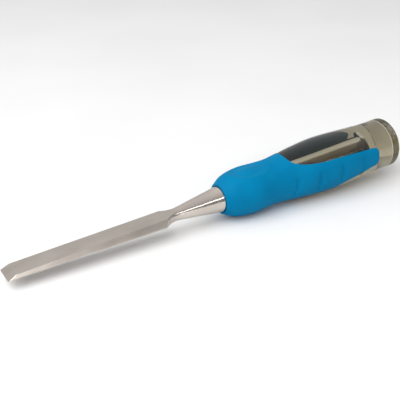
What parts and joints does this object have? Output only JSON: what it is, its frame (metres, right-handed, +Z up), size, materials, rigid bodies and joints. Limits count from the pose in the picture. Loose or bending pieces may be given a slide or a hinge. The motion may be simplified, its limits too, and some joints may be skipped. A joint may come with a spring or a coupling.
{
  "type": "bench chisel",
  "caption": "Bevel-edge bench chisel with a forged blade and conical bolster, and a clear handle with a soft over-moulded grip and a striking cap, for paring and chopping wood.",
  "frame": {"origin": "centre of the bounding box, on the bench plane that the handle rests on", "axes": "+X from the cutting edge towards the butt, +Y across the blade, +Z up away from the bench, with the bevel facing up"},
  "size_m": [0.2726, 0.0374, 0.0385],
  "materials": {
    "steel": "satin ground steel",
    "sleeve_plastic": "opaque moulded plastic, seen through the clear body",
    "smoke_plastic": "clear smoke-tinted plastic, polished",
    "soft_blue": "satin soft-touch elastomer",
    "cap_plastic": "smoke-tinted impact plastic"
  },
  "bodies": {
    "root": {"blade": "steel", "tang_sleeve": "sleeve_plastic", "handle_body": "smoke_plastic", "soft_grip": "soft_blue", "striking_cap": "cap_plastic"}
  },
  "joints": []
}
